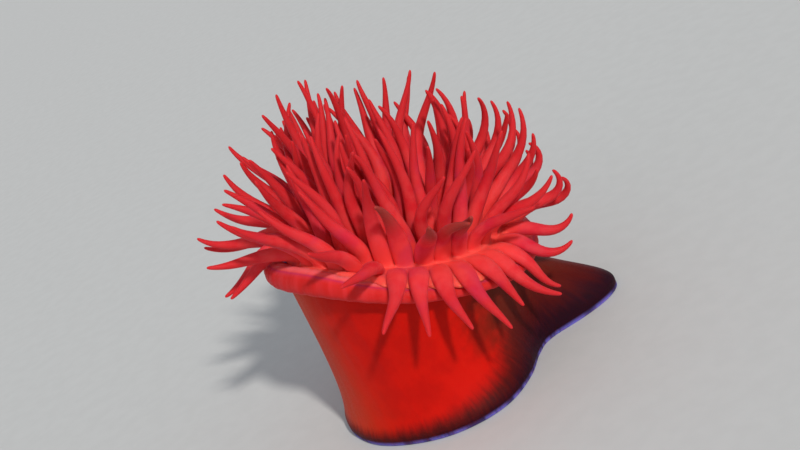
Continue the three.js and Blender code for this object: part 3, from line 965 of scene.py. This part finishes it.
def collar_colour(paint, colours, rise):
    """Red with paler folds, a painted highlight on the upper shelf and a line of painted purple shade
    along the rim.
    """
    shelf = paint.trait("shelf")
    return paint.coat(
        colours.collar,
        (paint.span(streaks(paint, 16.0, rise, 0.12), *UPPER), colours.collar_fold),
        # Painted highlight on the collar's upper shelf.
        (shelf, colours.collar_shelf),
        # Painted purple shade along the collar's rim.
        (paint.times(paint.span(shelf, 0.0, 0.25), paint.fade(shelf, 0.25, 0.6, 0.6)), colours.plum),
    )


def tentacle_colour(paint, colours, place):
    """Pale orange at the root, red along the length, and a deeper red to the tip, with patches of
    painted purple shade.
    """
    along, tint = paint.trait("along"), paint.trait("tint")
    smoke = paint.times(paint.trait("smoke"), paint.span(along, 0.3, 0.9, 0.0, 0.65))
    # Painted purple shade in patches on the lower part of the tentacles.
    shade_blotches = paint.span(paint.noise(place, 0.16), 0.54, 0.72, 0.0, 0.35)
    return paint.coat(
        colours.tentacle,
        (paint.span(paint.noise(place, 0.5, 3.0), *UPPER), colours.tentacle_shade),
        (paint.span(tint, 0.0, 1.0, 0.0, 0.5), colours.tentacle_pale),
        # Painted purple shade over the whole of some tentacles.
        (paint.fade(tint, -1.0, -0.5, 0.3), colours.plum),
        (paint.fade(along, 0.05, 0.45, 0.8), colours.tentacle_root),
        (paint.fade(along, 0.0, 0.06, 0.5), colours.root_crease),
        (paint.span(along, 0.2, 0.85), colours.tentacle_tip),
        (paint.span(paint.trait("lobe"), 0.6, 1.0, 0.0, 0.7), colours.lobe),
        (smoke, colours.smoky_tip),
        (paint.times(shade_blotches, paint.fade(along, 0.5, 0.9)), colours.plum),
    )


def skin_finish(colours):
    """One finish for the whole skin. Each region's colour is laid by the skin's own traits."""
    paint = Paint("Anemone_flesh")
    place, rise = paint.place(), paint.trait("rise")
    fine = streaks(paint, 34.0, rise, 0.25)
    colour = wall_colour(paint, colours, place, rise, fine)
    colour = paint.blend(paint.trait("collar"), colour, collar_colour(paint, colours, rise))
    colour = paint.blend(paint.trait("crown"), colour, tentacle_colour(paint, colours, place))
    disc = paint.coat(colours.oral_disc, (paint.trait("lip"), colours.lips))
    colour = paint.blend(paint.trait("oral"), colour, disc)
    pores = paint.noise(place, 3.2, 3.0, 0.6)
    near_foot = paint.span(rise, 2.0, 9.0, 1.0, 0.15)
    ridges = paint.bump(paint.times(fine, near_foot), 0.1, 0.5)
    normal = paint.bump(pores, 0.05, 0.5, Normal=ridges)
    haze = {"Sheen Weight": 0.02, "Sheen Roughness": 0.4, "Sheen Tint": rgba(colours.sheen)}
    roughness = paint.span(pores, *MOST, 0.48, 0.62)
    return paint.finish(flesh(colour, normal, roughness, 0.5, 1.0, FLESH_GLOW) | haze)


def bead_finish(colours):
    paint = Paint("Bead_flesh")
    mottle = paint.noise(paint.place(), 2.4)
    colour = paint.coat(colours.bead, (paint.span(mottle, *MOST), colours.bead_pale))
    roughness = paint.span(mottle, *MOST, 0.3, 0.45)
    normal = paint.bump(mottle, 0.04, 0.5)
    return paint.finish(flesh(colour, normal, roughness, 0.4, 0.8, BEAD_GLOW))


def floor_finish(studio):
    paint = Paint("Pale_floor")
    place = paint.place()
    mottle = paint.noise(place, 0.3, 4.0)
    shade = tuple(FLOOR_SHADE * value for value in studio.floor_colour)
    return paint.finish({
        "Base Color": paint.coat(studio.floor_colour, (paint.span(mottle, *MOST), shade)),
        "Roughness": paint.span(mottle, *MOST, 0.75, 0.85),
        "Normal": paint.bump(paint.noise(place, 1.5), 0.02, 0.3),
    })


# ---- beads and studio

BEAD_PLACE_RADIUS = 17.1
# How high the beads' middles stand, in half heights of the collar over its own middle:
# half proud of it round the back, and under the frill at the front.
BEAD_RISE = [0.6, 0.86, 0.88, 0.88, 0.74, 0.45, 0.4, 0.45]
BEAD_RISE_SCATTER = 0.1
BEAD_PLACE_SCATTER = 0.22
BEAD_SIZE_SCATTER = 0.18
# A bead's depth, width and height against its radius.
BEAD_FORM = (0.9, 1.15, 1.0)

CAMERA_TARGET = (-1.5653, 7.9712, 21.9006)
CAMERA_CLIP = (0.01, 50)
KEY_DIRECTION = (0.28, -0.76, 0.59)
KEY_COLOUR = (1.0, 0.97, 0.92)
FILL_DIRECTION = (-0.5, -0.9, 0.35)
FILL_COLOUR = (0.9, 0.94, 1.0)
FILL_ANGLE = math.radians(60)


def make_beads(shape, material):
    """The ring of blue stinging beads in the groove inside the collar, joined as one piece."""
    beads = bmesh.new()
    form = Matrix.Diagonal((*BEAD_FORM, 1.0))
    for k in range(shape.bead_count):
        stray = BEAD_PLACE_SCATTER * scatter(k + 1, "bead_place")
        azimuth = (k + 0.5 + stray) * TURN / shape.bead_count
        size = shape.bead_radius * (1 + BEAD_SIZE_SCATTER * scatter(k + 1, "bead_size"))
        middle, half_tall = collar_section(azimuth)
        height = middle + compass(BEAD_RISE, azimuth) * half_tall
        height += BEAD_RISE_SCATTER * scatter(k + 1, "bead_rise")
        spot = Matrix.Translation(Vector(on_disc(BEAD_PLACE_RADIUS, azimuth, height) * MM))
        turned = spot @ (Matrix.Rotation(azimuth, 4, "Z") @ form)
        bmesh.ops.create_icosphere(beads, subdivisions=3, radius=size * MM, matrix=turned)
    mesh = bpy.data.meshes.new("Beads")
    beads.to_mesh(mesh)
    beads.free()
    mesh.shade_smooth()
    mesh.materials.append(material)
    return add_object("Beads", mesh)


def make_floor(studio):
    mesh = bpy.data.meshes.new("Floor")
    half = studio.floor_size / 2
    corners = [(-half, -half, 0), (half, -half, 0), (half, half, 0), (-half, half, 0)]
    mesh.from_pydata(corners, [], [(0, 1, 2, 3)])
    mesh.materials.append(floor_finish(studio))
    floor = add_object("Floor", mesh)


def aim(forward, roll):
    """The turn that points an object's -Z forward, then rolls it clockwise."""
    right = forward.cross(Vector((0, 0, 1))).normalized()
    up = right.cross(forward)
    tilted_right = math.cos(roll) * right - math.sin(roll) * up
    tilted_up = math.sin(roll) * right + math.cos(roll) * up
    return Matrix((tilted_right, tilted_up, -forward)).transposed().to_4x4()


def add_camera(studio):
    """The camera looks from the front, a little down, and is rolled as a diver holds it."""
    forward = Vector((0, math.cos(studio.camera_elevation), -math.sin(studio.camera_elevation)))
    lens = bpy.data.cameras.new("Camera")
    lens.lens = studio.camera_lens
    lens.clip_start, lens.clip_end = CAMERA_CLIP
    camera = add_object("Camera", lens)
    place = Vector(CAMERA_TARGET) * MM - forward * studio.camera_distance
    camera.matrix_world = Matrix.Translation(place) @ aim(forward, studio.camera_roll)
    bpy.context.scene.camera = camera


def add_light(name, towards, strength, colour, angle):
    """A light that shines from a direction and looks an angle wide from the animal."""
    lamp = bpy.data.lights.new(name, "SUN")
    lamp.energy = strength
    lamp.color = colour
    lamp.angle = angle
    towards = Vector(towards).normalized()
    add_object(name, lamp).matrix_world = Matrix.Translation(towards) @ aim(-towards, 0)


def add_world(studio):
    world = bpy.data.worlds.new("Studio_air")
    world.use_nodes = True
    air = world.node_tree.nodes["Background"].inputs
    air["Color"].default_value = rgba(studio.air_colour)
    air["Strength"].default_value = studio.air_strength
    bpy.context.scene.world = world


# ---- settings

COLOURS = dict(
    wall=(0.54, 0.005, 0.001, "The lit red-orange of the column"),
    wall_shade=(0.47, 0.004, 0.001, "The column's deeper patches"),
    # Painted light: the glow on the column's shaded left side.
    wall_pale=(0.50, 0.042, 0.010, "The column's paler left side"),
    # The column's right side: partly its darker colour, partly painted shade.
    dusk=(0.120, 0.010, 0.003, "The column's dark right side"),
    band=(0.080, 0.004, 0.003, "The dark band above the foot"),
    band_deep=(0.016, 0.0012, 0.006, "The band's darkest part"),
    edge_line=(0.17, 0.14, 0.54, "The violet line at the foot's edge"),
    collar=(0.56, 0.016, 0.014, "The rolled collar"),
    collar_fold=(0.62, 0.026, 0.028, "The collar's paler folds"),
    # Painted highlight on the collar's upper side.
    collar_shelf=(0.84, 0.130, 0.140, "The collar's pale upper side"),
    tentacle=(0.72, 0.052, 0.056, "A tentacle's length"),
    tentacle_shade=(0.64, 0.014, 0.024, "Its deeper patches"),
    tentacle_pale=(0.78, 0.045, 0.060, "The palest tentacles"),
    tentacle_root=(0.78, 0.058, 0.050, "A tentacle's root"),
    root_crease=(0.82, 0.100, 0.075, "The crease between two roots"),
    tentacle_tip=(0.54, 0.020, 0.025, "A tentacle's deeper outer half"),
    lobe=(0.80, 0.150, 0.070, "The frill's lobes over the collar"),
    smoky_tip=(0.200, 0.050, 0.034, "The few brown tips"),
    # Painted purple shade, on the tentacles and along the collar's rim.
    plum=(0.40, 0.012, 0.090, "Purple patches low on the tentacles"),
    oral_disc=(0.42, 0.02, 0.03, "The disc round the mouth"),
    lips=(0.52, 0.035, 0.05, "The raised lips"),
    bead=(0.16, 0.22, 0.62, "The stinging beads"),
    bead_pale=(0.36, 0.42, 0.78, "The beads' paler patches"),
    sheen=(0.8, 0.3, 0.7, "The violet haze at a grazing look"),
)


def colour_setting(name, red, green, blue, description):
    return FloatVectorProperty(
        name=name.replace("_", " ").capitalize(), default=(red, green, blue),
        description=description, subtype="COLOR", min=0, max=1,
    )


def number_setting(name, default, low, high, description, **kind):
    return FloatProperty(
        name=name, default=default, min=low, max=high, description=description, **kind
    )


class AnemoneShape(bpy.types.PropertyGroup):
    collar_folds: number_setting(
        "Collar folds", 0.05 * MM, 0, 1 * MM, "How deep the collar's folds are, in metres",
        unit="LENGTH", precision=5,
    )
    wall_folds: number_setting(
        "Wall folds", 0.03 * MM, 0, 1 * MM, "How deep the column's soft folds are, in metres",
        unit="LENGTH", precision=5,
    )
    bead_count: IntProperty(
        name="Beads", description="How many beads lie inside the collar", default=24, min=0, max=48
    )
    bead_radius: number_setting("Bead radius", 0.5, 0.1, 1, "A bead's radius in millimetres")


class AnemoneColours(bpy.types.PropertyGroup):
    __annotations__ = {name: colour_setting(name, *value) for name, value in COLOURS.items()}


class AnemoneStudio(bpy.types.PropertyGroup):
    floor_colour: colour_setting("floor_colour", 0.55, 0.55, 0.54, "The floor's pale colour")
    floor_size: number_setting("Floor size", 12, 1, 50, "The floor's side", unit="LENGTH")
    key_strength: number_setting("Key light", 2.6, 0, 20, "The key light's strength")
    key_angle: number_setting(
        "Key softness", math.radians(4), 0, 1, "How wide the key light looks from the animal",
        subtype="ANGLE",
    )
    fill_strength: number_setting("Fill light", 0.5, 0, 20, "The front fill light's strength")
    air_colour: colour_setting("air_colour", 0.86, 0.92, 1.0, "The light from all round")
    air_strength: number_setting("Air strength", 0.46, 0, 5, "How bright the air's light is")
    camera_lens: number_setting("Lens", 60, 10, 300, "The camera's focal length", unit="CAMERA")
    camera_distance: number_setting(
        "Camera distance", 0.2, 0.05, 2, "How far the camera stands from its target",
        unit="LENGTH",
    )
    camera_elevation: number_setting(
        "Camera elevation", math.radians(20), 0, 1.5, "How far the camera looks down",
        subtype="ANGLE",
    )
    camera_roll: number_setting(
        "Camera roll", math.radians(27.5), -3.15, 3.15,
        "How far the camera is turned about its own line of sight", subtype="ANGLE",
    )


# ---- operators

class ANEMONE_OT_grow_skin(bpy.types.Operator):
    """Grow the animal's one skin: foot, column, collar, tentacles, oral disc and mouth"""

    bl_idname = "anemone.grow_skin"
    bl_label = "Grow skin"

    def execute(self, context):
        skin = make_skin(context.scene.anemone_shape)
        skin.data.materials.append(skin_finish(context.scene.anemone_colours))
        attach(skin, "root")
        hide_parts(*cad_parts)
        return {"FINISHED"}


class ANEMONE_OT_set_beads(bpy.types.Operator):
    """Set the ring of beads in the groove inside the collar"""

    bl_idname = "anemone.set_beads"
    bl_label = "Set beads"

    def execute(self, context):
        beads = make_beads(context.scene.anemone_shape, bead_finish(context.scene.anemone_colours))
        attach(beads, "root")
        return {"FINISHED"}


class ANEMONE_OT_light_stage(bpy.types.Operator):
    """Lay the pale floor, hang the lights and set up the camera"""

    bl_idname = "anemone.light_stage"
    bl_label = "Light stage"

    def execute(self, context):
        studio = context.scene.anemone_studio
        make_floor(studio)
        add_camera(studio)
        add_world(studio)
        add_light("Key", KEY_DIRECTION, studio.key_strength, KEY_COLOUR, studio.key_angle)
        add_light("Fill", FILL_DIRECTION, studio.fill_strength, FILL_COLOUR, FILL_ANGLE)
        context.scene.view_settings.view_transform = "Standard"
        return {"FINISHED"}


class ANEMONE_PT_sidebar(bpy.types.Panel):
    bl_label = "Beadlet Anemone"
    bl_idname = "ANEMONE_PT_sidebar"
    bl_space_type = "VIEW_3D"
    bl_region_type = "UI"
    bl_category = "Anemone"

    def draw(self, context):
        for place in GROUPS:
            group = getattr(context.scene, place)
            box = self.layout.box()
            for name in group.__annotations__:
                box.prop(group, name)
        for operator in OPERATORS:
            self.layout.operator(operator.bl_idname)


GROUPS = {
    "anemone_shape": AnemoneShape,
    "anemone_colours": AnemoneColours,
    "anemone_studio": AnemoneStudio,
}
OPERATORS = (ANEMONE_OT_grow_skin, ANEMONE_OT_set_beads, ANEMONE_OT_light_stage)


def register():
    for cls in (*GROUPS.values(), *OPERATORS, ANEMONE_PT_sidebar):
        bpy.utils.register_class(cls)
    for name, group in GROUPS.items():
        setattr(bpy.types.Scene, name, PointerProperty(type=group))


def unregister():
    for name in GROUPS:
        delattr(bpy.types.Scene, name)
    for cls in (ANEMONE_PT_sidebar, *OPERATORS, *GROUPS.values()):
        bpy.utils.unregister_class(cls)


def main():
    register()
    bpy.ops.anemone.grow_skin()
    bpy.ops.anemone.set_beads()
    bpy.ops.anemone.light_stage()


if __name__ == "__main__":
    main()
